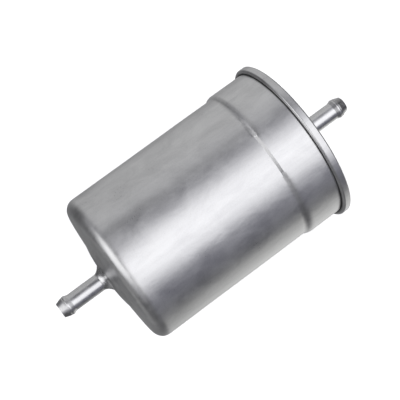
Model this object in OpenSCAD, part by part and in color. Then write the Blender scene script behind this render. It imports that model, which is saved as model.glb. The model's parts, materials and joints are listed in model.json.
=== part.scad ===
// Inline fuel filter in a drawn metal housing, with a beaded hose nipple at each end.
// The axis of the filter lies along X: the domed inlet end points to -X, the seamed outlet end to +X.
// The origin is on the axis, at the middle of the straight band that a clamp holds.

/* [Housing] */
// Outer diameter of the straight body, where the clamp sits
body_d = 73.6; // [72.8:0.1:74.2]
// Length of the straight body, from the dome's shoulder to the foot of the step
body_len = 74.5; // [70:0.5:90]
// Outer diameter of the widened band next to the cover
band_d = 75.9; // [75.6:0.1:76]
// Axial length of the sloping step between body and band
step_len = 4; // [3:0.5:6]
// Length of the band from the top of the step to the seam
band_len = 16.2; // [16:0.2:22]
// Sheet thickness of the housing and the cover
sheet_t = 0.6; // [0.5:0.05:0.6]
// Outer radius of the shoulder between dome and body
shoulder_r = 5.6; // [5:0.1:6.5]
// Slope of the dome face, in degrees from square to the axis
dome_slope = 6.1; // [5.5:0.1:6.5]

/* [Seam] */
// Outer diameter of the rolled seam
rim_d = 80; // [80:0.1:80.6]
// Height of the rolled seam along the axis
rim_h = 4; // [4:0.1:5]
// Depth of the cover's countersink, from the top of the seam
countersink = 5.4; // [5:0.1:6]

/* [Nipples] */
// Outer diameter of the hose nipples
nipple_d = 8; // [7.6:0.1:8]
// Bore of the hose nipples
nipple_bore = 6.6; // [6.4:0.1:6.7]
// Diameter over the hose bead
bead_d = 9.3; // [9:0.1:9.6]
// Diameter of the nipple's tip
tip_d = 7; // [6.9:0.1:7.2]
// Bore at the nipple's tip, where the tube is drawn in
tip_bore = 6; // [5.9:0.1:6.2]
// Distance of the inlet tip from the origin
inlet_reach = 70.1; // [68:0.1:90]
// Distance of the outlet tip from the origin
outlet_reach = 89.7; // [86:0.1:110]

/* [Filter element] */
// Number of paper pleats
pleats = 48; // [36:1:48]
// Thickness of the filter paper
paper_t = 0.5; // [0.4:0.05:0.6]
// Outer diameter over the pleats
pleat_od = 67; // [66:0.5:67.5]
// Inner diameter of the pleats
pleat_id = 31; // [31:0.5:34]
// Outer diameter of the perforated core tube
core_od = 28; // [27:0.5:28]
// Rows of holes along the core tube
core_rows = 6; // [4:1:7]
// Holes around the core tube in each row
core_holes = 10; // [8:1:12]

/* [Hidden] */

// Smoothness of the turned solids and of the arcs in their outlines
fine = 96;
arc_steps = 10;
bend_steps = 5;
edge_steps = 4;
curl_steps = 6;
hole_fine = 32;
// Clearances: a hair gap between parts that touch, and the gaps between the layers of the seam
hair = 0.05;
seam_gap = 0.1;
hook_clear = 0.07;
// Overshoot of a cutting tool past the face it cuts
over = 1;

// Colours of the pieces
housing_colour = [0.72, 0.72, 0.73];
filler_colour = [0.16, 0.17, 0.17];
nipple_colour = [0.78, 0.78, 0.79];
braze_colour = [0.75, 0.75, 0.75];
paper_colour = [0.85, 0.76, 0.52];
clip_colour = [0.7, 0.7, 0.7];
sheet_colour = [0.66, 0.66, 0.68];
end_colour = [0.7, 0.7, 0.68];
bond_colour = [0.75, 0.3, 0.2];
rubber_colour = [0.08, 0.08, 0.08];
spring_colour = [0.6, 0.62, 0.65];
gauze_colour = [0.8, 0.8, 0.82];
ring_colour = [0.62, 0.62, 0.64];

body_r = body_d / 2;
band_r = band_d / 2;
rim_r = rim_d / 2;
tube_r = nipple_d / 2;
bore_r = nipple_bore / 2;
bead_r = bead_d / 2;
tip_r = tip_d / 2;
tip_bore_r = tip_bore / 2;
body_in = body_r - sheet_t;
band_in = band_r - sheet_t;

// Stations along the axis
shoulder_x = -body_len / 2;
foot_x = body_len / 2;
band_x = foot_x + step_len;
rim_x = band_x + band_len;
rim_top = rim_x + rim_h;

// Dome: a shallow cone that runs tangent into the shoulder
shoulder_cr = body_r - shoulder_r;
dome_r = shoulder_cr + shoulder_r * sin(dome_slope);
dome_x = shoulder_x - shoulder_r * cos(dome_slope);
sheet_x = sheet_t / cos(dome_slope);
function dome_at(r) = dome_x - (dome_r - r) * tan(dome_slope);

// Necks that hold the nipples: a short collar of sheet and a flared fillet of braze over it
neck_in = tube_r + hair;
neck_out = neck_in + sheet_t;
neck_bend = 0.7;
neck_h = 1.2;
flare_len = 3.8;
flare_rise = 2.6;
flare_steps = 12;
flare_r = tube_r + flare_rise;

// Hose bead and tip of a nipple
bead_land = 0.9;
tip_taper = 3.2;
inlet_ramp = 2.2;
outlet_ramp = 3.6;
lip_len = 1.2;
lip_taper = 1.2;
flange_t = 0.8;
flange_r = tube_r + 2;

// Cover panel
panel_x = rim_top - countersink;
plateau_rise = 1.2;
plateau_r = 28;
plateau_slope = 2.5;
panel_bend = 1.2;
chuck_r = band_in - seam_gap;
chuck_in = chuck_r - sheet_t;
rim_round = 1.5;
outlet_neck_x = panel_x + plateau_rise;

// Seam layers, from the can's wall outwards
hook_in = band_r + seam_gap;
hook_out = hook_in + sheet_t;
can_hook_in = hook_out + hook_clear;
can_hook_out = can_hook_in + sheet_t;
compound_t = 0.25;
can_top = rim_top - sheet_t - compound_t;
hook_gap = 0.2;

// Filter element, from the closed cap at the inlet end to the flanged plate at the outlet end
cap_t = 0.6;
bond_t = 1.2;
gasket_t = 1.5;
gasket_w = 2.4;
gasket_sink = 0.3;
gasket_x = band_x - gasket_sink;
flange_plate_x = gasket_x + gasket_t;
flange_clear = 0.15;
flange_plate_r = band_in - flange_clear;
flange_rise = 5;
element_top = flange_plate_x - flange_rise;
skirt_h = 3;
cap_inset = 0.3;
cap_x = shoulder_x + cap_inset;
media_x0 = cap_x + cap_t + bond_t;
media_x1 = element_top - bond_t;
pleat_ro = pleat_od / 2;
pleat_ri = pleat_id / 2;
// Half the width of the flat folds, in thicknesses of paper
outer_fold = 0.45;
inner_fold = 0.6;
cap_clear = 0.7;
cap_r = pleat_ro + cap_clear;
core_ro = core_od / 2;
core_t = 0.6;
core_hole_d = 4;
core_margin = 8;
core_hole_phase = 0.25;
collar_h = 3.4;
collar_clear = 0.6;
collar_r = core_ro - core_t - collar_clear;

// Strainer stack in the collar of the outlet end plate
stack_r = collar_r - cap_t - hair;
support_t = 0.8;
mesh_t = 0.3;
ring_w = 2;
ring_t = 1;
seat_w = 1.2;

// Springs
spring_t = 0.5;
spring_top_r = 18;
spring_foot_r = 33;
spring_pad = 3;
spring_slots = 8;
slot_w = 5;
spider_r = 33.4;
spider_hub = 20;
spider_hub_w = 6;
spider_drop = 3.2;
spider_legs = 6;
leg_w = 7;

// Points of an arc about [cr, cx] from angle a0 to a1, in [radius, axial] coordinates
function arc(cr, cx, r, a0, a1, n = arc_steps) =
    [for (i = [0:n]) [cr + r * cos(a0 + (a1 - a0) * i / n), cx + r * sin(a0 + (a1 - a0) * i / n)]];

// A solid turned about the X axis from a [radius, axial] outline
module turned(points) {
    rotate([0, 90, 0])
        rotate_extrude($fn = fine)
            polygon(points);
}

// A flat ring about the X axis, from x0 to x1
module ring(r_in, r_out, x0, x1) {
    turned([[r_in, x0], [r_out, x0], [r_out, x1], [r_in, x1]]);
}

// A shape drawn in the YZ plane and drawn out along X
module along_x(x0, x1) {
    translate([x0, 0, 0])
        rotate([90, 0, 90])
            linear_extrude(x1 - x0)
                children();
}

// Deep-drawn can: neck, dome, shoulder, body, step, band, and the hook that the cover is rolled over
module housing_can() {
    outer = concat(
        [[neck_out, dome_at(neck_out) - neck_h]],
        [[neck_out, dome_at(neck_out) - neck_bend]],
        [[neck_out + neck_bend, dome_at(neck_out + neck_bend)]],
        arc(shoulder_cr, shoulder_x, shoulder_r, dome_slope - 90, 0),
        [[body_r, foot_x], [band_r, band_x], [band_r, can_top - sheet_t]],
        [[can_hook_in, can_top - sheet_t], [can_hook_in, rim_x + sheet_t + hook_gap]]);
    inner = concat(
        [[can_hook_out, rim_x + rim_round], [can_hook_out, can_top], [band_in, can_top]],
        [[band_in, band_x], [body_in, foot_x]],
        arc(shoulder_cr, shoulder_x, shoulder_r - sheet_t, 0, dome_slope - 90),
        [[neck_in + neck_bend, dome_at(neck_in + neck_bend) + sheet_x]],
        [[neck_in, dome_at(neck_in) + sheet_x - neck_bend], [neck_in, dome_at(neck_out) - neck_h]]);
    color(housing_colour) turned(concat(outer, inner));
}

// Drawn cover: neck, raised panel, countersink wall, rolled rim, and its hook behind the can's hook
module cover_lid() {
    face = concat(
        [[neck_in, outlet_neck_x + neck_h], [neck_out, outlet_neck_x + neck_h]],
        [[neck_out, outlet_neck_x + neck_bend], [neck_out + neck_bend, outlet_neck_x]],
        [[plateau_r, outlet_neck_x], [plateau_r + plateau_slope, panel_x]],
        arc(chuck_in - panel_bend, panel_x + panel_bend, panel_bend, -90, 0, bend_steps),
        arc(chuck_in + sheet_t, rim_top - sheet_t, sheet_t, 180, 90, edge_steps),
        arc(rim_r - sheet_t, rim_top - sheet_t, sheet_t, 90, 0, edge_steps),
        arc(rim_r - rim_round, rim_x + rim_round, rim_round, 0, -90, curl_steps),
        [[hook_in, rim_x], [hook_in, can_top - sheet_t - hook_gap]]);
    back = concat(
        [[hook_out, can_top - sheet_t - hook_gap], [hook_out, rim_x + sheet_t]],
        arc(rim_r - rim_round, rim_x + rim_round, rim_round - sheet_t, -90, 0, curl_steps),
        [[rim_r - sheet_t, rim_top - sheet_t], [chuck_r, rim_top - sheet_t]],
        arc(chuck_in - panel_bend, panel_x + panel_bend, panel_bend + sheet_t, 0, -90, bend_steps),
        [[plateau_r + plateau_slope, panel_x - sheet_t], [plateau_r, outlet_neck_x - sheet_t]],
        [[neck_in + neck_bend, outlet_neck_x - sheet_t], [neck_in, outlet_neck_x - sheet_t + neck_bend]]);
    color(housing_colour) turned(concat(face, back));
}

// Sealing compound between the top of the can's hook and the underside of the rolled rim
module seam_compound() {
    color(filler_colour) ring(band_in + hair, can_hook_out - hair, can_top, can_top + compound_t);
}

// Beaded hose nipple with its tip at x = reach, and a flange inside the sheet at x = seat
module nipple(reach, seat, ramp) {
    bead_x = reach - tip_taper;
    turned([
        [bore_r, seat - flange_t],
        [flange_r, seat - flange_t],
        [flange_r, seat],
        [tube_r, seat],
        [tube_r, bead_x - bead_land - ramp],
        [bead_r, bead_x - bead_land],
        [bead_r, bead_x],
        [tip_r, reach],
        [tip_bore_r, reach],
        [tip_bore_r, reach - lip_len],
        [bore_r, reach - lip_len - lip_taper]]);
}

module inlet_nipple() {
    seat = -dome_at(flange_r) - sheet_x - hair;
    color(nipple_colour) mirror([1, 0, 0]) nipple(inlet_reach, seat, inlet_ramp);
}

module outlet_nipple() {
    seat = outlet_neck_x - sheet_t - hair;
    color(nipple_colour) nipple(outlet_reach, seat, outlet_ramp);
}

// Flared fillet of braze between a nipple and its neck, on a face at x = base that falls away by slope
module braze(base, slope) {
    fall = tan(slope);
    flare = [for (i = [0:flare_steps])
        [flare_r - flare_rise * (1 - pow(1 - i / flare_steps, 2)),
            base - fall * (flare_r - neck_out) + flare_len * i / flare_steps]];
    foot = [[tube_r, base + neck_h + hair], [neck_out, base + neck_h + hair],
        [neck_out, base + neck_bend], [neck_out + neck_bend, base - fall * neck_bend]];
    turned(concat(foot, flare));
}

module inlet_braze_ring() {
    color(braze_colour) mirror([1, 0, 0]) braze(-dome_at(neck_out), dome_slope);
}

module outlet_braze_ring() {
    color(braze_colour) braze(outlet_neck_x, 0);
}

// Star-pleated filter paper: each pleat has two legs, a flat fold outside and a flat fold inside
module pleated_media() {
    pitch = 360 / pleats;
    fold_o = asin(outer_fold * paper_t / pleat_ro);
    fold_i = asin(inner_fold * paper_t / pleat_ri);
    thick_o = asin(paper_t / pleat_ro);
    thick_i = asin(paper_t / pleat_ri);
    function at(r, a) = [r * cos(a), r * sin(a)];
    outside = [for (i = [0:pleats - 1], s = [0:3])
        s == 0 ? at(pleat_ri, i * pitch - pitch / 2 + fold_i)
        : s == 1 ? at(pleat_ro, i * pitch - fold_o - thick_o)
        : s == 2 ? at(pleat_ro, i * pitch + fold_o + thick_o)
        : at(pleat_ri, i * pitch + pitch / 2 - fold_i)];
    inside = [for (i = [0:pleats - 1], s = [0:3])
        s == 0 ? at(pleat_ri - paper_t, i * pitch - pitch / 2 + fold_i + thick_i)
        : s == 1 ? at(pleat_ro - paper_t, i * pitch - fold_o)
        : s == 2 ? at(pleat_ro - paper_t, i * pitch + fold_o)
        : at(pleat_ri - paper_t, i * pitch + pitch / 2 - fold_i - thick_i)];
    color(paper_colour)
        along_x(media_x0, media_x1)
            difference() {
                polygon(outside);
                polygon(inside);
            }
}

// Folded strip that clips the first and last leg of the paper together, along one fold
module media_seam_clip() {
    clip_t = 0.3;
    clip_in = (1 + outer_fold + 0.1) * paper_t;
    clip_depth = 5;
    clip_end = 0.5;
    color(clip_colour)
        along_x(media_x0 + clip_end, media_x1 - clip_end)
            translate([pleat_ro - clip_depth, -clip_in - clip_t])
                difference() {
                    square([clip_depth + hair + clip_t, 2 * (clip_in + clip_t)]);
                    translate([-over, clip_t])
                        square([clip_depth + over + hair, 2 * clip_in]);
                }
}

// Perforated tube that carries the pleats against the inward flow
module inner_core_tube() {
    span = media_x1 - media_x0 - 2 * core_margin;
    color(sheet_colour)
        difference() {
            ring(core_ro - core_t, core_ro, media_x0, media_x1);
            for (row = [0:core_rows - 1], turn = [0:core_holes - 1])
                translate([media_x0 + core_margin + span * row / (core_rows - 1), 0, 0])
                    rotate([(turn + core_hole_phase + (row % 2) / 2) * 360 / core_holes, 0, 0])
                        translate([0, 0, core_ro - core_t - over])
                            cylinder(h = core_t + 2 * over, d = core_hole_d, $fn = hole_fine);
        }
}

// Closed cap at the inlet end, with an upturned edge and a stiffening dimple in the middle
module inlet_end_cap() {
    edge_h = 3;
    dimple_r = 9;
    dimple_rise = 1.5;
    color(end_colour)
        turned([
            [0, cap_x + dimple_rise],
            [dimple_r, cap_x + dimple_rise],
            [dimple_r + dimple_rise, cap_x],
            [cap_r + cap_t, cap_x],
            [cap_r + cap_t, cap_x + edge_h],
            [cap_r, cap_x + edge_h],
            [cap_r, cap_x + cap_t],
            [dimple_r + dimple_rise - hair, cap_x + cap_t],
            [dimple_r - hair, cap_x + cap_t + dimple_rise],
            [0, cap_x + cap_t + dimple_rise]]);
}

// Flanged plate at the outlet end: collar for the strainer, skirt round the pleats, flange on the gasket
module outlet_end_plate() {
    skirt_x = element_top - skirt_h;
    color(end_colour)
        turned([
            [collar_r - cap_t - seat_w, element_top],
            [cap_r, element_top],
            [cap_r, skirt_x],
            [cap_r + cap_t, skirt_x],
            [cap_r + cap_t, flange_plate_x],
            [flange_plate_r, flange_plate_x],
            [flange_plate_r, flange_plate_x + cap_t],
            [cap_r, flange_plate_x + cap_t],
            [cap_r, element_top + cap_t],
            [collar_r, element_top + cap_t],
            [collar_r, element_top + collar_h],
            [collar_r - cap_t, element_top + collar_h],
            [collar_r - cap_t, element_top + cap_t],
            [collar_r - cap_t - seat_w, element_top + cap_t]]);
}

// Layers of set plastisol that seal the paper and the core to the two end pieces
module inlet_end_bond() {
    color(bond_colour) ring(core_ro - core_t, cap_r - hair, cap_x + cap_t, media_x0);
}

module outlet_end_bond() {
    color(bond_colour) ring(core_ro - core_t, cap_r - hair, media_x1, element_top);
}

// Flat rubber ring between the flange of the end plate and the step of the can
module flange_gasket() {
    color(rubber_colour) ring(flange_plate_r - gasket_w, flange_plate_r, gasket_x, flange_plate_x);
}

// Slotted conical spring between the cover and the end plate: it holds the flange on the gasket
module hold_down_spring() {
    foot_x0 = flange_plate_x + cap_t + hair;
    top_x = outlet_neck_x - sheet_t - hair;
    color(spring_colour)
        difference() {
            turned([
                [spring_foot_r - spring_pad, foot_x0 + spring_t],
                [spring_foot_r - spring_pad, foot_x0],
                [spring_foot_r + spring_pad, foot_x0],
                [spring_foot_r + spring_pad, foot_x0 + spring_t],
                [spring_foot_r - spring_pad + spring_t, foot_x0 + spring_t],
                [spring_top_r + spring_t, top_x],
                [spring_top_r - spring_pad, top_x],
                [spring_top_r - spring_pad, top_x - spring_t],
                [spring_top_r, top_x - spring_t]]);
            for (i = [0:spring_slots - 1])
                rotate([i * 360 / spring_slots, 0, 0])
                    translate([foot_x0 + spring_t + hair, -slot_w / 2, 0])
                        cube([top_x - foot_x0, slot_w, spring_foot_r - spring_pad]);
        }
}

// Sprung star on the closed cap: its legs centre the element inside the dome's shoulder
module centring_spider() {
    hub_x = cap_x - hair;
    color(spring_colour)
        intersection() {
            turned([
                [spider_hub - spider_hub_w, hub_x - spring_t],
                [spider_hub, hub_x - spring_t],
                [spider_r - spring_t, hub_x - spring_t - spider_drop],
                [spider_r, hub_x - spider_drop],
                [spider_hub, hub_x],
                [spider_hub - spider_hub_w, hub_x]]);
            along_x(hub_x - 2 * spider_drop, hub_x + over)
                union() {
                    circle(r = spider_hub, $fn = fine);
                    for (i = [0:spider_legs / 2 - 1])
                        rotate(i * 360 / spider_legs)
                            square([2 * spider_r + over, leg_w], center = true);
                }
        }
}

// Punched plate that backs the strainer
module support_plate() {
    hole_ring = stack_r * 0.6;
    plate_holes = 8;
    plate_hole_d = 3.4;
    color(sheet_colour)
        along_x(element_top + cap_t, element_top + cap_t + support_t)
            difference() {
                circle(r = stack_r, $fn = fine);
                circle(d = plate_hole_d, $fn = hole_fine);
                for (i = [0:plate_holes - 1])
                    rotate(i * 360 / plate_holes)
                        translate([hole_ring, 0])
                            circle(d = plate_hole_d, $fn = hole_fine);
            }
}

// Disc of fine woven gauze that keeps loose fibres out of the fuel line
module strainer_mesh() {
    mesh_x = element_top + cap_t + support_t;
    color(gauze_colour)
        along_x(mesh_x, mesh_x + mesh_t)
            circle(r = stack_r, $fn = fine);
}

// Ring pressed into the collar over the gauze
module strainer_ring() {
    ring_x = element_top + cap_t + support_t + mesh_t;
    color(ring_colour) ring(stack_r - ring_w, stack_r, ring_x, ring_x + ring_t);
}

housing_can();
cover_lid();
seam_compound();
inlet_nipple();
outlet_nipple();
inlet_braze_ring();
outlet_braze_ring();
pleated_media();
media_seam_clip();
inner_core_tube();
inlet_end_cap();
outlet_end_plate();
inlet_end_bond();
outlet_end_bond();
flange_gasket();
hold_down_spring();
centring_spider();
support_plate();
strainer_mesh();
strainer_ring();
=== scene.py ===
import json
import math

import bpy
from mathutils import Matrix, Vector, noise


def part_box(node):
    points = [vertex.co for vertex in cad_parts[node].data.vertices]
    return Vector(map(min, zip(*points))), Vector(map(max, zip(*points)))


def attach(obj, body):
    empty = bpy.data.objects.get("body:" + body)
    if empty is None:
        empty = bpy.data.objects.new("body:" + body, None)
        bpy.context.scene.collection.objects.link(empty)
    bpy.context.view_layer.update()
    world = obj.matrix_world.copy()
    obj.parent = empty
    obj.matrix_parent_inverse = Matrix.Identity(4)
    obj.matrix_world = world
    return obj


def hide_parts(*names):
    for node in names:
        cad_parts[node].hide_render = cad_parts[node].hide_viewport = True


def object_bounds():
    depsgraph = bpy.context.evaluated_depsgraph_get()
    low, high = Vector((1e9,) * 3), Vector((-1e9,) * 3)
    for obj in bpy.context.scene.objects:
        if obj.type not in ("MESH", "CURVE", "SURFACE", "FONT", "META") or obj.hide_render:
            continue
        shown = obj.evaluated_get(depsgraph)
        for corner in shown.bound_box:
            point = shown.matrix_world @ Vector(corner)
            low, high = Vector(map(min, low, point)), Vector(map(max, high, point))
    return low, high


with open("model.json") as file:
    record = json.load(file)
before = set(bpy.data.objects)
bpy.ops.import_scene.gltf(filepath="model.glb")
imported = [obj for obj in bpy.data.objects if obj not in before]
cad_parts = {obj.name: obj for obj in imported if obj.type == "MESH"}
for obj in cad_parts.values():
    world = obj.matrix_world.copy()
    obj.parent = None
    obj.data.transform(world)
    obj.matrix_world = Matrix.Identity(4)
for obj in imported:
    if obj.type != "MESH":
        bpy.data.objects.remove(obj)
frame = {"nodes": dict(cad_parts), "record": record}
cad_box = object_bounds()

MM = 0.001

# ---------------------------------------------------------------- sizes, in metres

_, can_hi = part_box("housing_can")
_, lid_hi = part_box("cover_lid")
mounts = {m["name"]: m for m in frame["record"]["mounts"]}

SHEET = 0.6 * MM
BODY_R = mounts["body_band"]["dims"]["r_mm"] * MM
BODY_HALF = mounts["body_band"]["dims"]["length_mm"] * MM / 2
RIM_R = lid_hi[2]
RIM_TOP = lid_hi[0]
HOOK_OUT_R = can_hi[2]
CAN_TOP = can_hi[0]
STEP = 4 * MM
RIM_H = 4 * MM
RIM_X = RIM_TOP - RIM_H
BAND_X = BODY_HALF + STEP
HOOK_GAP = 0.07 * MM
HOOK_BEND = 0.3 * MM
CURL_GAP = 0.1 * MM
CAN_HOOK_IN = HOOK_OUT_R - SHEET
LID_HOOK_OUT = CAN_HOOK_IN - HOOK_GAP
LID_HOOK_IN = LID_HOOK_OUT - SHEET
BAND_R = LID_HOOK_IN - CURL_GAP

# dome: a shallow cone, tangent to the shoulder
SHOULDER_R = 5.6 * MM
DOME_SLOPE = math.radians(6.1)
SHOULDER_CR = BODY_R - SHOULDER_R
DOME_R = SHOULDER_CR + SHOULDER_R * math.sin(DOME_SLOPE)
DOME_X = -BODY_HALF - SHOULDER_R * math.cos(DOME_SLOPE)
SHEET_X = SHEET / math.cos(DOME_SLOPE)

# hose necks, nipples and the flared fillets of braze
TUBE_R = mounts["inlet_hose_seat"]["dims"]["r_mm"] * MM
BEAD_R = mounts["inlet_bead"]["dims"]["r_mm"] * MM
BEAD_LAND = mounts["inlet_bead"]["dims"]["length_mm"] * MM
NECK_IN = TUBE_R + 0.05 * MM
NECK_OUT = NECK_IN + SHEET
NECK_BEND = 0.7 * MM
NECK_H = 1.2 * MM
NECK_GAP = 0.05 * MM
BORE_R = 3.3 * MM
TIP_R = 3.5 * MM
TIP_BORE_R = 3.0 * MM
TIP_TAPER = 3.5 * MM
LIP_LEN = 1.2 * MM
FLANGE_T = 0.8 * MM
FLANGE_R = TUBE_R + 2 * MM
FLANGE_GAP = 0.05 * MM
INLET_RAMP = 1.8 * MM
OUTLET_RAMP = 1.7 * MM
GROOVE_W = 0.35 * MM
GROOVE_D = 0.28 * MM
GROOVE_FRONT = 0.12 * MM
FLARE_LEN = 3.8 * MM
FLARE_RISE = 2.8 * MM
FLARE_LIP = 0.07 * MM

# cover panel
PANEL_X = RIM_TOP - 5.4 * MM
PLATEAU_X = PANEL_X + 1.2 * MM
PLATEAU_R = 28 * MM
PLATEAU_SLOPE = 2.5 * MM
PLATEAU_BEND = 2.5 * MM
PANEL_BEND = 1.2 * MM
CHUCK_BEND = 0.75 * MM
CHUCK_OUT = BAND_R - SHEET - 0.1 * MM
CHUCK_IN = CHUCK_OUT - SHEET


def dome_at(radius):
    """Where the dome's outer face lies along the axis, at a radius."""
    return DOME_X - (DOME_R - radius) * math.tan(DOME_SLOPE)


# ---------------------------------------------------------------- turned meshes

SHARP_FROM = math.radians(40)
SEED_SPACING = 17.3


def rounded(corners, steps=10):
    """A closed (x, r) outline from (x, r, fillet) corners.
    Each fillet becomes an arc tangent to both sides."""
    points = []
    count = len(corners)
    for i, (x, r, fillet) in enumerate(corners):
        here = Vector((x, r))
        if fillet <= 0:
            points.append(here)
            continue
        back = (Vector(corners[i - 1][:2]) - here).normalized()
        ahead = (Vector(corners[(i + 1) % count][:2]) - here).normalized()
        half = back.angle(ahead) / 2
        reach = fillet / math.tan(half)
        centre = here + (back + ahead).normalized() * fillet / math.sin(half)
        start = here + back * reach - centre
        end = here + ahead * reach - centre
        turn = start.angle_signed(end)
        for k in range(steps + 1):
            points.append(centre + start @ Matrix.Rotation(turn * k / steps, 2))
    return points


def subdivided(points, longest, fine=(0.0, 0.0, 1.0)):
    """The outline with its long straight stretches split, so that it can carry small unevenness.
    fine is (start, end, longest): a span along the axis and the longest stretch inside it."""
    out = []
    for i, here in enumerate(points):
        ahead = points[(i + 1) % len(points)]
        inside = fine[0] <= min(here.x, ahead.x) and max(here.x, ahead.x) <= fine[1]
        pieces = max(1, math.ceil((ahead - here).length / (fine[2] if inside else longest)))
        out += [here.lerp(ahead, k / pieces) for k in range(pieces)]
    return out


def lathe(name, outline, around, warp):
    """A closed solid turned about the X axis.
    warp(x, r, angle) gives the (x, r) that a point moves to."""
    verts = []
    faces = []
    count = len(outline)
    for j in range(around):
        angle = 2 * math.pi * j / around
        for p in outline:
            x, r = warp(p.x, p.y, angle)
            verts.append((x, r * math.cos(angle), r * math.sin(angle)))
    for j in range(around):
        ahead = (j + 1) % around
        for i in range(count):
            up = (i + 1) % count
            faces.append((j * count + i, j * count + up, ahead * count + up, ahead * count + i))
    mesh = bpy.data.meshes.new(name)
    mesh.from_pydata(verts, [], faces)
    mesh.validate()
    mesh.shade_smooth()
    mesh.set_sharp_from_angle(angle=SHARP_FROM)
    mesh.update()
    piece = bpy.data.objects.new(name, mesh)
    bpy.context.scene.collection.objects.link(piece)
    return piece


def ring_noise(angle, cycles, seed, along=0.0):
    """Smooth noise from -1 to 1 that closes on itself round the axis."""
    depth = along + SEED_SPACING * seed
    return noise.noise(Vector((cycles * math.cos(angle), cycles * math.sin(angle), depth)))


def near(value, centre, width):
    """1 at the centre, falling smoothly to 0 at a distance of width."""
    t = max(0.0, 1 - abs(value - centre) / width)
    return t * t * (3 - 2 * t)


def clamped(value):
    """The value kept between 0 and 1."""
    return min(1.0, max(0.0, value))


def eased(value):
    """0 up to 0 and 1 from 1 on, smooth between."""
    t = clamped(value)
    return t * t * (3 - 2 * t)


def facing(angle, centre, width):
    """1 where the angle round the axis meets the centre, 0 beyond the width; both are in degrees."""
    away = (angle - math.radians(centre) + math.pi) % (2 * math.pi) - math.pi
    return near(away, 0.0, math.radians(width))


# ---------------------------------------------------------------- the can

CAN_AROUND = 320
CAN_STRETCH = 1.2 * MM
RAMP_STRETCH = 0.2 * MM
RIM_GAP = 0.12 * MM

# the neck stays as drawn, and the taper ends behind the lip of the rolled rim
NECK_KEPT_R = NECK_OUT + 1.5 * MM
LIP_FROM = RIM_X - 0.9 * MM
LIP_TO = RIM_X + 0.3 * MM
LIP_FADE = (RIM_X + 1.5 * MM, 2.4 * MM)

# unevenness of the drawn sheet: each height, then (centre, reach) of its place
DRAW_TAPER = 0.15 * MM
DOME_TO = DOME_X + 1.5 * MM
DOME_SINK = 0.27 * MM
DOME_SINK_R = (18 * MM, 14 * MM)
DOME_RAISE = 0.30 * MM
DOME_RAISE_R = (12.5 * MM, 6.5 * MM)
DENT = 0.05 * MM
DENT_ANGLE = (1.95, 0.35)
DENT_X = (-12 * MM, 26 * MM)
# height, changes round the axis, seed, changes per metre along the axis
WAVES = ((0.022 * MM, 1.1, 1, 60), (0.008 * MM, 5.0, 2, 25))

# the step between body and band: its foot wanders along the axis, and its shape changes round the can
FOOT_X = BODY_HALF + MM
RAMP_FROM = BODY_HALF - 2.5 * MM
RAMP_TO = BAND_X + 2.5 * MM
STEEP_W = 1.3 * MM
SOFT_W = 3.4 * MM
SOFT_POWER = 1.6
GROOVE_REACH = 0.55 * MM
GROOVE_BEHIND = 1.2 * MM
DIP = 0.03 * MM
DIP_REACH = 4 * MM
# (centre, width, shift in mm) of each bend; the angles here and below are in degrees round the axis
STEP_BENDS = ((40, 44, 0.45), (84, 30, -0.4), (133, 36, -0.5))
# (centre, width) of the steep stretches, and of two stretches with a deeper groove
STEEP_PLACES = ((101, 28), (22, 50))
LEFT_PLACE = (45, 62)
LOW_PLACE = (165, 18)
# over 1, so that a stretch has its full strength before its centre
FULLNESS = 1.8
# depth of the groove in mm: everywhere, and what each kind of stretch adds
GROOVE_ALL = 0.03
GROOVE_STEEP = 0.05
GROOVE_LEFT = 0.15
GROOVE_LOW = 0.07


def step_lift(x, angle):
    """How far the step raises the wall: 0 on the body, 1 on the band, with a groove at its foot."""
    foot = FOOT_X
    for centre, width, shift in STEP_BENDS:
        foot += shift * MM * facing(angle, centre, width)
    steep = min(1.0, sum(FULLNESS * facing(angle, *place) for place in STEEP_PLACES))
    left = min(1.0, FULLNESS * facing(angle, *LEFT_PLACE))
    low = facing(angle, *LOW_PLACE)
    steep_rise = eased((x - foot) / STEEP_W)
    soft_rise = 1 - (1 - clamped((x - foot) / SOFT_W)) ** SOFT_POWER
    rise = steep * steep_rise + (1 - steep) * soft_rise
    groove = (GROOVE_ALL + GROOVE_STEEP * steep + GROOVE_LEFT * left + GROOVE_LOW * low) * MM
    groove *= near(x, foot, GROOVE_REACH if x < foot else GROOVE_BEHIND)
    dip = DIP * steep * near(x, foot, DIP_REACH) * (1 - steep_rise)
    return rise - (groove + dip) / (BAND_R - BODY_R)


def can_warp(x, r, angle):
    """Draw taper, an uneven dome, soft waves, a shallow dent and an uneven step."""
    if r < NECK_KEPT_R:
        return x, r
    if x > LIP_FROM:
        return x, r + DRAW_TAPER * (1 - near(x, *LIP_FADE)) * (x < LIP_TO)
    if x < DOME_TO:
        x += DOME_SINK * near(r, *DOME_SINK_R) - DOME_RAISE * near(r, *DOME_RAISE_R)
    r += DRAW_TAPER * clamped((x + BODY_HALF / 2) / BODY_HALF) * (r > SHOULDER_CR)
    if RAMP_FROM < x < RAMP_TO:
        even = (x - RAMP_FROM) / (RAMP_TO - RAMP_FROM)
        r += (BAND_R - BODY_R) * (step_lift(x, angle) - even)
    wave = 0.0
    for height, cycles, seed, along in WAVES:
        wave += height * ring_noise(angle, cycles, seed, x * along)
    dent = -DENT * near(angle, *DENT_ANGLE) * near(x, *DENT_X)
    return x, r + wave + dent


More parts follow.
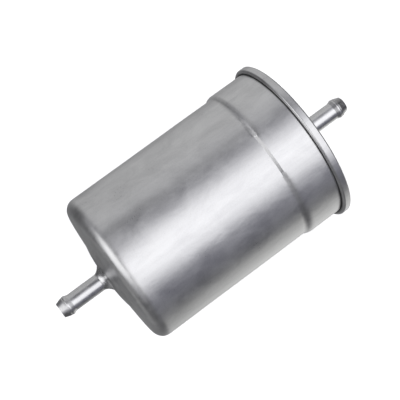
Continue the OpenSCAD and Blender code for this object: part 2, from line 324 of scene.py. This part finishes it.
def make_can():
    """The can from its hose neck over dome, shoulder, body and step to the hook inside the seam."""
    hook_foot = RIM_X + SHEET + 0.2 * MM
    corners = [
        (dome_at(NECK_OUT) - NECK_H, NECK_OUT, 0),
        (dome_at(NECK_OUT), NECK_OUT, NECK_BEND),
        (dome_at(BODY_R), BODY_R, SHOULDER_R),
        (RAMP_FROM, BODY_R, 0),
        (RAMP_TO, BAND_R, 0),
        (RIM_X - 0.5 * MM, BAND_R, HOOK_BEND),
        (RIM_X + 0.2 * MM, BAND_R - RIM_GAP, HOOK_BEND),
        (CAN_TOP - SHEET, BAND_R - RIM_GAP, 0),
        (CAN_TOP - SHEET, CAN_HOOK_IN, 0),
        (hook_foot, CAN_HOOK_IN, 0),
        (RIM_X + 1.5 * MM, HOOK_OUT_R, 0),
        (CAN_TOP, HOOK_OUT_R, HOOK_BEND),
        (CAN_TOP, BAND_R - SHEET - RIM_GAP, HOOK_BEND),
        (RIM_X, BAND_R - SHEET - RIM_GAP, 0),
        (RIM_X - MM, BAND_R - SHEET, 0),
        (RAMP_TO, BAND_R - SHEET, 0),
        (RAMP_FROM, BODY_R - SHEET, 0),
        (dome_at(BODY_R) + SHEET_X, BODY_R - SHEET, SHOULDER_R - SHEET),
        (dome_at(NECK_IN) + SHEET_X, NECK_IN, NECK_BEND),
        (dome_at(NECK_OUT) - NECK_H, NECK_IN, 0),
    ]
    outline = subdivided(rounded(corners), CAN_STRETCH, (RAMP_FROM, RAMP_TO, RAMP_STRETCH))
    piece = lathe("can_shell", outline, CAN_AROUND, can_warp)
    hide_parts("housing_can")
    return piece


# ---------------------------------------------------------------- the cover with its rolled rim

LID_AROUND = 320
LID_STRETCH = 1.5 * MM
RIM_SWELL = 0.3 * MM
RIM_SHIFT = 0.05 * MM
RIM_SHIFT_ANGLE = math.radians(192.5)
ROLLER_MARKS = 0.02 * MM
HOOK_KEPT_R = LID_HOOK_OUT + 0.1 * MM
CURL_END_GAP = 0.2 * MM


def lid_warp(x, r, angle):
    """The rim swells outwards, sits slightly off the axis and has faint roller marks."""
    if r < HOOK_KEPT_R:
        return x, r
    swell = RIM_SWELL * (r - LID_HOOK_OUT) / (RIM_R - LID_HOOK_OUT)
    shift = RIM_SHIFT * math.cos(angle - RIM_SHIFT_ANGLE)
    return x, r + swell + shift + ROLLER_MARKS * ring_noise(angle, 6.0, 5)


def make_lid():
    """The cover from its hose neck over plateau, panel and chuck wall to the rolled rim."""
    corners = [
        (PLATEAU_X + NECK_H, NECK_IN, 0),
        (PLATEAU_X + NECK_H, NECK_OUT, 0),
        (PLATEAU_X, NECK_OUT, NECK_BEND),
        (PLATEAU_X, PLATEAU_R, PLATEAU_BEND),
        (PANEL_X, PLATEAU_R + PLATEAU_SLOPE, PLATEAU_BEND),
        (PANEL_X, CHUCK_IN, PANEL_BEND),
        (RIM_TOP - 0.1 * MM, CHUCK_IN, CHUCK_BEND),
        (RIM_TOP - 0.05 * MM, RIM_R - 0.5 * MM, 0.35 * MM),
        (RIM_TOP - 0.6 * MM, RIM_R, 0.4 * MM),
        (RIM_X, RIM_R, 0.95 * MM),
        (RIM_X, LID_HOOK_IN, 0.7 * MM),
        (CAN_TOP - SHEET - CURL_END_GAP, LID_HOOK_IN, 0),
        (CAN_TOP - SHEET - CURL_END_GAP, LID_HOOK_OUT, 0),
        (RIM_X + SHEET, LID_HOOK_OUT, 0),
        (RIM_X + SHEET, RIM_R - SHEET, 0.8 * MM),
        (RIM_TOP - 2 * SHEET, RIM_R - SHEET, 0),
        (RIM_TOP - SHEET, CHUCK_OUT, 0),
        (PANEL_X - SHEET, CHUCK_OUT, PANEL_BEND + SHEET),
        (PANEL_X - SHEET, PLATEAU_R + PLATEAU_SLOPE, PLATEAU_BEND),
        (PLATEAU_X - SHEET, PLATEAU_R, PLATEAU_BEND),
        (PLATEAU_X - SHEET, NECK_IN, NECK_BEND),
    ]
    outline = subdivided(rounded(corners), LID_STRETCH)
    piece = lathe("cover_shell", outline, LID_AROUND, lid_warp)
    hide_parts("cover_lid")
    return piece


# ---------------------------------------------------------------- hose nipples and their brazed fillets

NIPPLE_AROUND = 128
NIPPLE_STRETCH = 0.8 * MM
TUBE_SWELL = 0.1 * MM
BORE_KEPT_R = BORE_R + 0.1 * MM
BRAZE_AROUND = 160
FLARE_STEPS = 16
FLARE_EDGE = 1.2 * MM
FOOT_KEPT = 0.2 * MM
EDGE_WAVE = 0.6
FLARE_WAVE = 0.5


def make_nipple(name, node, side, tip_x, seat_x, ramp):
    """A beaded tube along the axis.
    side is -1 for the inlet and 1 for the outlet; the x values are distances from the origin."""
    bead_x = tip_x - TIP_TAPER
    corners = [
        (seat_x - FLANGE_T, BORE_R, 0),
        (seat_x - FLANGE_T, FLANGE_R, 0.2 * MM),
        (seat_x, FLANGE_R, 0.2 * MM),
        (seat_x, TUBE_R, 0),
        (bead_x - BEAD_LAND - ramp, TUBE_R, 0.8 * MM),
        (bead_x - BEAD_LAND, BEAD_R, 0.6 * MM),
        (bead_x - GROOVE_W, BEAD_R, 0.25 * MM),
        (bead_x, BEAD_R - GROOVE_D, 0.15 * MM),
        (bead_x + GROOVE_W, BEAD_R - GROOVE_FRONT, 0.2 * MM),
        (tip_x, TIP_R, 0.22 * MM),
        (tip_x, TIP_BORE_R, 0.2 * MM),
        (tip_x - LIP_LEN, TIP_BORE_R, 0.3 * MM),
        (tip_x - 2 * LIP_LEN, BORE_R, 0.3 * MM),
    ]
    outline = subdivided(rounded(corners, 6), NIPPLE_STRETCH)
    outline = [Vector((side * p.x, p.y)) for p in outline]

    def tube_warp(x, r, angle):
        uneven = 0.8 + 0.2 * ring_noise(angle, 1.5, 6, x * 90)
        return x, r + TUBE_SWELL * uneven * (r > BORE_KEPT_R)

    piece = lathe(name, outline, NIPPLE_AROUND, tube_warp)
    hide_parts(node)
    return piece


def make_braze(name, node, side, base_x, fall, seed):
    """The flared fillet of solidified braze at the foot of a nipple, slightly uneven.
    fall is how much the sheet round it drops back along the axis for each unit of radius."""
    top = base_x - fall * (FLARE_RISE + TUBE_R - NECK_OUT)
    flare = []
    for i in range(FLARE_STEPS + 1):
        t = i / FLARE_STEPS
        radius = TUBE_R + FLARE_LIP + FLARE_RISE * (1 - t) ** 2
        flare.append(Vector((top + FLARE_LEN * t, radius)))
    foot = [
        Vector((base_x + NECK_H + NECK_GAP, TUBE_R)),
        Vector((base_x + NECK_H + NECK_GAP, NECK_OUT)),
        Vector((base_x + NECK_BEND, NECK_OUT)),
        Vector((base_x - fall * NECK_BEND, NECK_OUT + NECK_BEND)),
    ]
    outline = [Vector((side * p.x, p.y)) for p in foot + flare]

    def braze_warp(x, r, angle):
        depth = max(0.0, r - TUBE_R) / FLARE_RISE
        edge = near(abs(x), top + FLARE_LEN, FLARE_EDGE)
        uneven = 0.10 * ring_noise(angle, 1.6, seed) + 0.05 * ring_noise(angle, 4.0, seed + 1)
        free = abs(x) > base_x + NECK_H + FOOT_KEPT or r > NECK_OUT + NECK_BEND + FOOT_KEPT
        moved_x = x + side * MM * uneven * edge * EDGE_WAVE
        moved_r = r + MM * uneven * (0.2 + depth) * FLARE_WAVE * free
        return moved_x, moved_r

    piece = lathe(name, outline, BRAZE_AROUND, braze_warp)
    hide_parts(node)
    return piece


# ---------------------------------------------------------------- node helpers for the materials

class Nodes:
    """Short calls for building one material's node tree, with coordinates in millimetres."""

    # the sockets of a colour mix node
    MIX_A = 6
    MIX_B = 7
    MIX_RESULT = 2

    def __init__(self, name):
        self.material = bpy.data.materials.new(name)
        self.material.use_nodes = True
        self.tree = self.material.node_tree
        self.shader = self.tree.nodes["Principled BSDF"]
        texco = self.tree.nodes.new("ShaderNodeTexCoord")
        self.mm = self.vector_math("SCALE", texco.outputs["Object"], scale=1 / MM)

    def link(self, source, socket):
        self.tree.links.new(source, socket)

    def vector_math(self, operation, a, b=None, scale=None):
        node = self.tree.nodes.new("ShaderNodeVectorMath")
        node.operation = operation
        self.link(a, node.inputs[0])
        if b is not None:
            node.inputs[1].default_value = b
        if scale is not None:
            node.inputs["Scale"].default_value = scale
        return node.outputs["Value" if operation == "LENGTH" else "Vector"]

    def math(self, operation, a, b=0.0):
        node = self.tree.nodes.new("ShaderNodeMath")
        node.operation = operation
        for socket, value in zip(node.inputs, (a, b)):
            if isinstance(value, (int, float)):
                socket.default_value = value
            else:
                self.link(value, socket)
        return node.outputs[0]

    def stretched(self, per_mm):
        """The position times (x, y, z) cycles per millimetre."""
        return self.vector_math("MULTIPLY", self.mm, per_mm)

    def noise(self, vector, detail=3.0, roughness=0.5, distortion=0.0):
        """Cloudy noise from 0 to 1, one cycle for each unit of the vector."""
        node = self.tree.nodes.new("ShaderNodeTexNoise")
        node.inputs["Scale"].default_value = 1.0
        node.inputs["Detail"].default_value = detail
        node.inputs["Roughness"].default_value = roughness
        node.inputs["Distortion"].default_value = distortion
        self.link(vector, node.inputs["Vector"])
        return node.outputs["Fac"]

    def pits(self, vector):
        """The distance to the nearest of many scattered points."""
        node = self.tree.nodes.new("ShaderNodeTexVoronoi")
        node.inputs["Scale"].default_value = 1.0
        self.link(vector, node.inputs["Vector"])
        return node.outputs["Distance"]

    def span(self, value, low, high, to_low=0.0, to_high=1.0):
        """to_low at low, to_high at high, smooth between."""
        node = self.tree.nodes.new("ShaderNodeMapRange")
        node.interpolation_type = "SMOOTHSTEP"
        self.link(value, node.inputs["Value"])
        node.inputs["From Min"].default_value = low
        node.inputs["From Max"].default_value = high
        node.inputs["To Min"].default_value = to_low
        node.inputs["To Max"].default_value = to_high
        return node.outputs["Result"]

    def mix(self, factor, a, b):
        """Colour a where the factor is 0, b where it is 1."""
        node = self.tree.nodes.new("ShaderNodeMix")
        node.data_type = "RGBA"
        self.link(factor, node.inputs["Factor"])
        for socket, value in ((node.inputs[self.MIX_A], a), (node.inputs[self.MIX_B], b)):
            if isinstance(value, tuple):
                socket.default_value = (*value, 1.0)
            else:
                self.link(value, socket)
        return node.outputs[self.MIX_RESULT]

    def bump(self, height, distance_mm, strength=1.0, under=None):
        """A normal raised by the height, on top of the normal under it."""
        node = self.tree.nodes.new("ShaderNodeBump")
        node.inputs["Distance"].default_value = distance_mm * MM
        node.inputs["Strength"].default_value = strength
        self.link(height, node.inputs["Height"])
        if under is not None:
            self.link(under, node.inputs["Normal"])
        return node.outputs["Normal"]

    def finish(self, colour, roughness, normal, metallic=0.0):
        self.link(colour, self.shader.inputs["Base Color"])
        self.link(roughness, self.shader.inputs["Roughness"])
        self.link(normal, self.shader.inputs["Normal"])
        self.shader.inputs["Metallic"].default_value = metallic
        return self.material


# ---------------------------------------------------------------- materials

def housing_metal():
    """Tin-plated drawn sheet: streaks along the axis, faint rings, clouds, grain and small pits."""
    n = Nodes("housing_metal")
    fine_streak = n.noise(n.stretched((0.03, 2.4, 2.4)), 4.0, 0.6)
    broad_streak = n.noise(n.stretched((0.012, 0.45, 0.45)), 3.0, 0.55)
    cloud = n.noise(n.stretched((0.07, 0.11, 0.11)), 4.0, 0.6, 0.6)
    grain = n.noise(n.stretched((1.6, 1.6, 1.6)), 3.0, 0.7)
    rings = n.noise(n.stretched((0.9, 0.02, 0.02)), 3.0, 0.6)
    pit = n.span(n.pits(n.stretched((0.33, 0.33, 0.33))), 0.03, 0.09, 1.0, 0.0)
    tone = n.math("ADD", n.math("MULTIPLY", cloud, 0.6), n.math("MULTIPLY", broad_streak, 0.15))
    tone = n.math("ADD", tone, n.math("MULTIPLY", grain, 0.25))
    colour = n.mix(n.span(tone, 0.3, 0.7), (0.56, 0.56, 0.565), (0.76, 0.76, 0.76))
    colour = n.mix(n.math("MULTIPLY", pit, 0.35), colour, (0.42, 0.42, 0.43))
    rough = n.math("ADD", n.span(cloud, 0.25, 0.75, 0.29, 0.39), n.span(grain, 0.3, 0.7, -0.03, 0.03))
    rough = n.math("ADD", rough, n.span(fine_streak, 0.3, 0.7, -0.01, 0.02))
    normal = n.bump(broad_streak, 0.014)
    normal = n.bump(fine_streak, 0.0018, 1.0, normal)
    normal = n.bump(cloud, 0.10, 1.0, normal)
    normal = n.bump(grain, 0.009, 1.0, normal)
    normal = n.bump(rings, 0.010, 1.0, normal)
    normal = n.bump(pit, 0.02, -0.6, normal)
    # painted shade: a dark line in the gap under the rolled rim, where shade falls
    split = n.tree.nodes.new("ShaderNodeSeparateXYZ")
    n.link(n.mm, split.inputs[0])
    lip_mm = RIM_X / MM
    hook_mm = LID_HOOK_IN / MM
    dome_mm = DOME_X / MM
    past_lip = n.span(split.outputs["X"], lip_mm - 0.35, lip_mm + 0.15)
    radius = n.vector_math("LENGTH", n.stretched((0.0, 1.0, 1.0)))
    inside = n.span(radius, hook_mm + 0.5, hook_mm + 1.5, 1.0, 0.0)
    rim_gap_shade = n.math("MULTIPLY", past_lip, inside)
    colour = n.mix(rim_gap_shade, colour, (0.16, 0.16, 0.16))
    # painted shade: a dark ring on the dome round the inlet fillet, standing in for reflected shadow
    on_dome = n.span(split.outputs["X"], dome_mm + 1.5, dome_mm + 2.5, 1.0, 0.0)
    dome_ring_shade = n.math("MULTIPLY", on_dome, n.span(radius, 8.0, 14.0, 0.75, 0.0))
    colour = n.mix(dome_ring_shade, colour, (0.30, 0.30, 0.31))
    # the painted shade in the rim gap is also made rougher
    rough = n.math("ADD", rough, n.math("MULTIPLY", rim_gap_shade, 0.4))
    return n.finish(colour, rough, normal, 1.0)


def nipple_metal():
    """Tin-plated tube, smoother than the can, with faint turning marks round it."""
    n = Nodes("nipple_metal")
    turning = n.noise(n.stretched((3.5, 0.05, 0.05)), 3.0, 0.6)
    cloud = n.noise(n.stretched((0.25, 0.35, 0.35)), 3.0, 0.55)
    grain = n.noise(n.stretched((2.5, 2.5, 2.5)), 2.0, 0.6)
    colour = n.mix(n.span(cloud, 0.3, 0.7), (0.60, 0.60, 0.605), (0.70, 0.70, 0.705))
    rough = n.math("ADD", n.span(cloud, 0.3, 0.7, 0.22, 0.30), n.span(grain, 0.3, 0.7, 0.0, 0.03))
    normal = n.bump(turning, 0.004)
    normal = n.bump(grain, 0.003, 1.0, normal)
    return n.finish(colour, rough, normal, 1.0)


def braze_metal():
    """Solidified solder: soft ripples, a little duller than the tube."""
    n = Nodes("braze_metal")
    ripple = n.noise(n.stretched((0.8, 0.6, 0.6)), 3.0, 0.5, 0.4)
    grain = n.noise(n.stretched((3.0, 3.0, 3.0)), 2.0, 0.6)
    colour = n.mix(n.span(ripple, 0.3, 0.7), (0.62, 0.62, 0.62), (0.75, 0.75, 0.76))
    rough = n.span(ripple, 0.3, 0.7, 0.2, 0.3)
    normal = n.bump(ripple, 0.05)
    normal = n.bump(grain, 0.004, 1.0, normal)
    return n.finish(colour, rough, normal, 1.0)


def inner_sheet():
    """Rolled sheet with a zinc coat: directional rolling marks and dull patches."""
    n = Nodes("inner_sheet")
    rolling = n.noise(n.stretched((0.4, 3.0, 0.15)), 3.0, 0.6)
    spangle = n.pits(n.stretched((0.25, 0.25, 0.25)))
    colour = n.mix(n.span(spangle, 0.1, 0.8), (0.48, 0.49, 0.51), (0.62, 0.62, 0.63))
    rough = n.span(rolling, 0.3, 0.7, 0.32, 0.45)
    return n.finish(colour, rough, n.bump(rolling, 0.008), 1.0)


def spring_steel():
    """Oiled spring strip, darker, with fine rolling lines."""
    n = Nodes("spring_steel")
    rolling = n.noise(n.stretched((0.3, 2.5, 0.2)), 4.0, 0.6)
    oil = n.noise(n.stretched((0.12, 0.12, 0.12)), 3.0, 0.5)
    colour = n.mix(n.span(oil, 0.35, 0.65), (0.30, 0.31, 0.34), (0.45, 0.45, 0.47))
    rough = n.span(oil, 0.35, 0.65, 0.22, 0.36)
    return n.finish(colour, rough, n.bump(rolling, 0.006), 1.0)


def filter_paper():
    """Resin-treated filter paper: fibres, mottling and a soft surface."""
    n = Nodes("filter_paper")
    fibre = n.noise(n.stretched((1.2, 4.0, 4.0)), 5.0, 0.7, 0.8)
    mottle = n.noise(n.stretched((0.2, 0.2, 0.2)), 4.0, 0.6)
    colour = n.mix(n.span(mottle, 0.3, 0.7), (0.66, 0.50, 0.26), (0.80, 0.68, 0.42))
    colour = n.mix(n.span(fibre, 0.45, 0.75, 0.0, 0.5), colour, (0.88, 0.80, 0.60))
    rough = n.span(fibre, 0.3, 0.7, 0.8, 0.95)
    return n.finish(colour, rough, n.bump(fibre, 0.06), 0.0)


def dull_rubber(name, dark, light, speckle):
    """Rubber, plastisol or sealing compound: matt, with fine speckles and slow variation."""
    n = Nodes(name)
    slow = n.noise(n.stretched((0.3, 0.3, 0.3)), 3.0, 0.5)
    fine = n.noise(n.stretched((speckle, speckle, speckle)), 3.0, 0.6)
    colour = n.mix(n.span(slow, 0.3, 0.7), dark, light)
    rough = n.span(fine, 0.3, 0.7, 0.5, 0.75)
    return n.finish(colour, rough, n.bump(fine, 0.02), 0.0)


def gauze():
    """Plain weave of fine wire: crossed waves raise the wires and darken the holes."""
    n = Nodes("gauze")
    wires = []
    for across in ("Y", "Z"):
        wave = n.tree.nodes.new("ShaderNodeTexWave")
        wave.bands_direction = across
        wave.inputs["Scale"].default_value = 1.0
        n.link(n.mm, wave.inputs["Vector"])
        wires.append(wave.outputs["Fac"])
    weave = n.math("MAXIMUM", wires[0], wires[1])
    colour = n.mix(n.span(weave, 0.3, 0.8), (0.12, 0.12, 0.13), (0.68, 0.68, 0.70))
    rough = n.span(weave, 0.3, 0.8, 0.5, 0.28)
    return n.finish(colour, rough, n.bump(weave, 0.08), 1.0)


# ---------------------------------------------------------------- build the object

can = make_can()
lid = make_lid()
inlet_seat = -dome_at(FLANGE_R) - SHEET_X - FLANGE_GAP
outlet_seat = PLATEAU_X - SHEET - FLANGE_GAP
inlet = make_nipple("inlet_tube", "inlet_nipple", -1, -cad_box[0][0], inlet_seat, INLET_RAMP)
outlet = make_nipple("outlet_tube", "outlet_nipple", 1, cad_box[1][0], outlet_seat, OUTLET_RAMP)
fall = math.tan(DOME_SLOPE)
inlet_fillet = make_braze("inlet_fillet", "inlet_braze_ring", -1, -dome_at(NECK_OUT), fall, 7)
outlet_fillet = make_braze("outlet_fillet", "outlet_braze_ring", 1, PLATEAU_X, 0.0, 11)

for piece in (can, lid, inlet, outlet, inlet_fillet, outlet_fillet):
    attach(piece, "root")

MATERIALS = {
    "housing_metal": housing_metal(),
    "nipple_metal": nipple_metal(),
    "braze_metal": braze_metal(),
    "seam_filler": dull_rubber("seam_filler", (0.05, 0.055, 0.06), (0.10, 0.105, 0.11), 2.0),
    "filter_paper": filter_paper(),
    "inner_sheet": inner_sheet(),
    "plastisol": dull_rubber("plastisol", (0.45, 0.10, 0.06), (0.62, 0.18, 0.11), 1.2),
    "gasket_rubber": dull_rubber("gasket_rubber", (0.02, 0.02, 0.02), (0.045, 0.045, 0.045), 2.5),
    "spring_steel": spring_steel(),
    "gauze": gauze(),
}
PIECE_SLOTS = [
    (can, "housing_metal"),
    (lid, "housing_metal"),
    (inlet, "nipple_metal"),
    (outlet, "nipple_metal"),
    (inlet_fillet, "braze_metal"),
    (outlet_fillet, "braze_metal"),
]
for piece, slot in PIECE_SLOTS:
    piece.data.materials.append(MATERIALS[slot])
for part in frame["record"]["subparts"]:
    node = frame["nodes"][part["node"]]
    for material_slot in node.material_slots:
        material_slot.material = MATERIALS[part["material_slot"]]

# ---------------------------------------------------------------- floor, camera and light

FLOOR_HALF = 3.0
FLOOR_GAP = 0.03 * MM
FLOOR_GLOW = 0.62

# the camera, fitted to the outline of the photographed filter
CAMERA_AZIMUTH = math.radians(-37.28)
CAMERA_ELEVATION = math.radians(74.46)
CAMERA_DISTANCE = 0.4937
CAMERA_AIM = Vector((0.00918, 0.00299, 0.00074))
SENSOR_MM = 36
LENS_MM = 98.55
CLIP_START = 0.01

# what the metal reflects where no soft box stands, and what the camera sees behind the floor
DIM_ROOM = (0.115, 0.116, 0.120)
BACKDROP = (0.95, 0.95, 0.95, 1)


def make_floor():
    """A pale sheet under the filter, which lies on its rolled rim and on the edge of its shoulder."""
    lean = math.atan((RIM_R - BODY_R) / (RIM_X + RIM_H / 2 + BODY_HALF))
    mesh = bpy.data.meshes.new("floor")
    corners = [
        (-FLOOR_HALF, -FLOOR_HALF, 0),
        (FLOOR_HALF, -FLOOR_HALF, 0),
        (FLOOR_HALF, FLOOR_HALF, 0),
        (-FLOOR_HALF, FLOOR_HALF, 0),
    ]
    mesh.from_pydata(corners, [], [(0, 1, 2, 3)])
    floor = bpy.data.objects.new("floor", mesh)
    floor.location = (-BODY_HALF, 0, -BODY_R - FLOOR_GAP)
    floor.rotation_euler = (0, lean, 0)
    bpy.context.scene.collection.objects.link(floor)
    n = Nodes("pale_floor")
    mottle = n.noise(n.stretched((0.01, 0.01, 0.01)), 3.0, 0.5)
    colour = n.mix(mottle, (0.90, 0.90, 0.90), (0.94, 0.94, 0.94))
    rough = n.span(mottle, 0.3, 0.7, 0.55, 0.65)
    material = n.finish(colour, rough, n.bump(mottle, 0.01), 0.0)
    n.shader.inputs["Emission Color"].default_value = (1, 1, 1, 1)
    n.shader.inputs["Emission Strength"].default_value = FLOOR_GLOW
    floor.data.materials.append(material)
    floor.visible_glossy = False


def make_camera():
    """The view of the photograph: from high above, with the axis rising to the right."""
    level = Vector((-math.sin(CAMERA_AZIMUTH), math.cos(CAMERA_AZIMUTH), 0))
    down = Vector((0, 0, math.sin(CAMERA_ELEVATION)))
    forward = level * math.cos(CAMERA_ELEVATION) - down
    right = Vector((math.cos(CAMERA_AZIMUTH), math.sin(CAMERA_AZIMUTH), 0))
    up = right.cross(forward)
    place = CAMERA_AIM - forward * CAMERA_DISTANCE
    data = bpy.data.cameras.new("camera")
    data.sensor_width = SENSOR_MM
    data.lens = LENS_MM
    data.clip_start = CLIP_START
    camera = bpy.data.objects.new("camera", data)
    turn = Matrix((right, up, -forward)).transposed().to_4x4()
    camera.matrix_world = Matrix.Translation(place) @ turn
    bpy.context.scene.collection.objects.link(camera)
    bpy.context.scene.camera = camera


class SkyNodes:
    """The studio round the filter, as seen from it: soft boxes and dark cards.
    Each is placed by its angle round the axis and by its two ends along the axis."""

    def __init__(self):
        self.world = bpy.data.worlds.new("studio")
        self.world.use_nodes = True
        self.tree = self.world.node_tree
        self.tree.nodes.clear()
        self.direction = self.add("ShaderNodeTexCoord").outputs["Generated"]
        split = self.add("ShaderNodeSeparateXYZ")
        self.link(self.direction, split.inputs[0])
        self.along = split.outputs["X"]
        # the direction with its part along the axis taken out
        flat = self.add("ShaderNodeVectorMath", operation="MULTIPLY")
        self.link(self.direction, flat.inputs[0])
        flat.inputs[1].default_value = (0, 1, 1)
        unit = self.add("ShaderNodeVectorMath", operation="NORMALIZE")
        self.link(flat.outputs[0], unit.inputs[0])
        self.round = unit.outputs[0]

    def add(self, kind, **settings):
        node = self.tree.nodes.new(kind)
        for key, value in settings.items():
            setattr(node, key, value)
        return node

    def link(self, source, socket):
        self.tree.links.new(source, socket)

    def ease(self, value, low, high):
        """0 at low, 1 at high, smooth between; low may be the larger."""
        node = self.add("ShaderNodeMapRange", interpolation_type="SMOOTHSTEP")
        self.link(value, node.inputs["Value"])
        flip = low > high
        node.inputs["From Min"].default_value = min(low, high)
        node.inputs["From Max"].default_value = max(low, high)
        node.inputs["To Min"].default_value = 1.0 if flip else 0.0
        node.inputs["To Max"].default_value = 0.0 if flip else 1.0
        return node.outputs["Result"]

    def times(self, a, b):
        node = self.add("ShaderNodeMath", operation="MULTIPLY")
        self.link(a, node.inputs[0])
        self.link(b, node.inputs[1])
        return node.outputs[0]

    def placed(self, centre, core, reach, near_end, far_end):
        """1 within core degrees of the centre, 0 beyond reach degrees and past the two ends.
        The centre is the angle from straight up towards -Y. Each end is (where 0, where 1)."""
        across = self.add("ShaderNodeVectorMath", operation="DOT_PRODUCT")
        self.link(self.round, across.inputs[0])
        a = math.radians(centre)
        across.inputs[1].default_value = (0, -math.sin(a), math.cos(a))
        zero_at = math.cos(math.radians(reach))
        one_at = math.cos(math.radians(core))
        fade = self.ease(across.outputs["Value"], zero_at, one_at)
        fade = self.times(fade, self.ease(self.along, *near_end))
        return self.times(fade, self.ease(self.along, *far_end))

    def soft_box(self, total, centre, core, reach, near_end, far_end, level, blue):
        """Adds one soft box to the total; blue shifts its colour at about the same brightness."""
        fade = self.placed(centre, core, reach, near_end, far_end)
        scaled = self.add("ShaderNodeVectorMath", operation="SCALE")
        red_green = level * (1 - blue / 2)
        scaled.inputs[0].default_value = (red_green, red_green, level * (1 + blue))
        self.link(fade, scaled.inputs["Scale"])
        summed = self.add("ShaderNodeVectorMath", operation="ADD")
        self.link(total, summed.inputs[0])
        self.link(scaled.outputs[0], summed.inputs[1])
        return summed.outputs[0]

    def shade(self, total, centre, core, reach, near_end, far_end, depth):
        """Darkens a part of the total by the share depth, placed like a soft box."""
        fade = self.placed(centre, core, reach, near_end, far_end)
        keep = self.add("ShaderNodeMapRange")
        self.link(fade, keep.inputs["Value"])
        keep.inputs["To Min"].default_value = 1.0
        keep.inputs["To Max"].default_value = 1.0 - depth
        scaled = self.add("ShaderNodeVectorMath", operation="SCALE")
        self.link(total, scaled.inputs[0])
        self.link(keep.outputs["Result"], scaled.inputs["Scale"])
        return scaled.outputs[0]


# darker parts of the studio, placed like the soft boxes below; the last number is how much each darkens
DARK_CARDS = [
    (-14, 8, 24, (-0.50, -0.35), (0.10, 0.00), 0.5),   # a dark card beside the panel
    (0, 90, 179, (0.40, 0.75), (2.00, 1.90), 0.5),     # the far end, beyond the outlet
]

SOFT_BOXES = [
    # centre, core, reach in degrees; (dark, lit) at the two ends along the axis; brightness, blueness
    (26, 13, 41, (-0.52, -0.20), (0.82, 0.40), 1.26, 0.0),     # the large panel overhead
    (0, 10, 34, (0.00, 0.22), (0.82, 0.42), 0.22, 0.0),        # its left edge, wider towards the seam
    (50, 8, 28, (0.05, 0.28), (0.82, 0.42), 0.16, 0.0),        # its right edge
    (40, 25, 80, (-0.60, 0.10), (0.90, 0.48), 0.11, 0.25),     # its soft surround, bluish
    (-6, 20, 64, (-1.30, -0.90), (-0.45, -0.58), 1.22, 0.0),   # a second panel beyond the domed end
    (50, 14, 44, (-1.30, -0.90), (-0.40, -0.60), 0.30, 0.05),  # its right edge
    (-84, 30, 54, (-0.40, 0.15), (0.95, 0.60), 0.48, 0.0),     # the pale wall on the left
    (-30, 12, 38, (0.00, 0.24), (0.90, 0.55), 0.18, 0.05),     # its upper edge
    (-40, 15, 60, (-1.30, -0.90), (0.20, -0.32), 0.18, 0.05),  # a weaker fill above it
    (148, 14, 38, (-0.10, 0.20), (0.90, 0.62), 0.58, -0.02),   # the sheet below on the right
    (190, 20, 55, (-0.45, 0.12), (1.20, 1.00), 0.26, 0.0),     # the sheet underneath
    (175, 15, 50, (-1.30, -0.90), (-0.30, -0.70), 0.20, 0.0),  # the sheet beyond the domed end
]


def make_world():
    """Long soft boxes for the metal to reflect. The camera itself sees a plain pale backdrop."""
    sky = SkyNodes()
    base = sky.add("ShaderNodeCombineXYZ")
    for socket, level in zip(base.inputs, DIM_ROOM):
        socket.default_value = level
    total = base.outputs[0]
    for box in SOFT_BOXES:
        total = sky.soft_box(total, *box)
    for card in DARK_CARDS:
        total = sky.shade(total, *card)
    studio = sky.add("ShaderNodeBackground")
    sky.link(total, studio.inputs["Color"])
    backdrop = sky.add("ShaderNodeBackground")
    backdrop.inputs["Color"].default_value = BACKDROP
    path = sky.add("ShaderNodeLightPath")
    choose = sky.add("ShaderNodeMixShader")
    sky.link(path.outputs["Is Camera Ray"], choose.inputs["Fac"])
    sky.link(studio.outputs[0], choose.inputs[1])
    sky.link(backdrop.outputs[0], choose.inputs[2])
    output = sky.add("ShaderNodeOutputWorld")
    sky.link(choose.outputs[0], output.inputs["Surface"])
    bpy.context.scene.world = sky.world


make_floor()
make_camera()
make_world()
bpy.context.scene.view_settings.view_transform = "Standard"
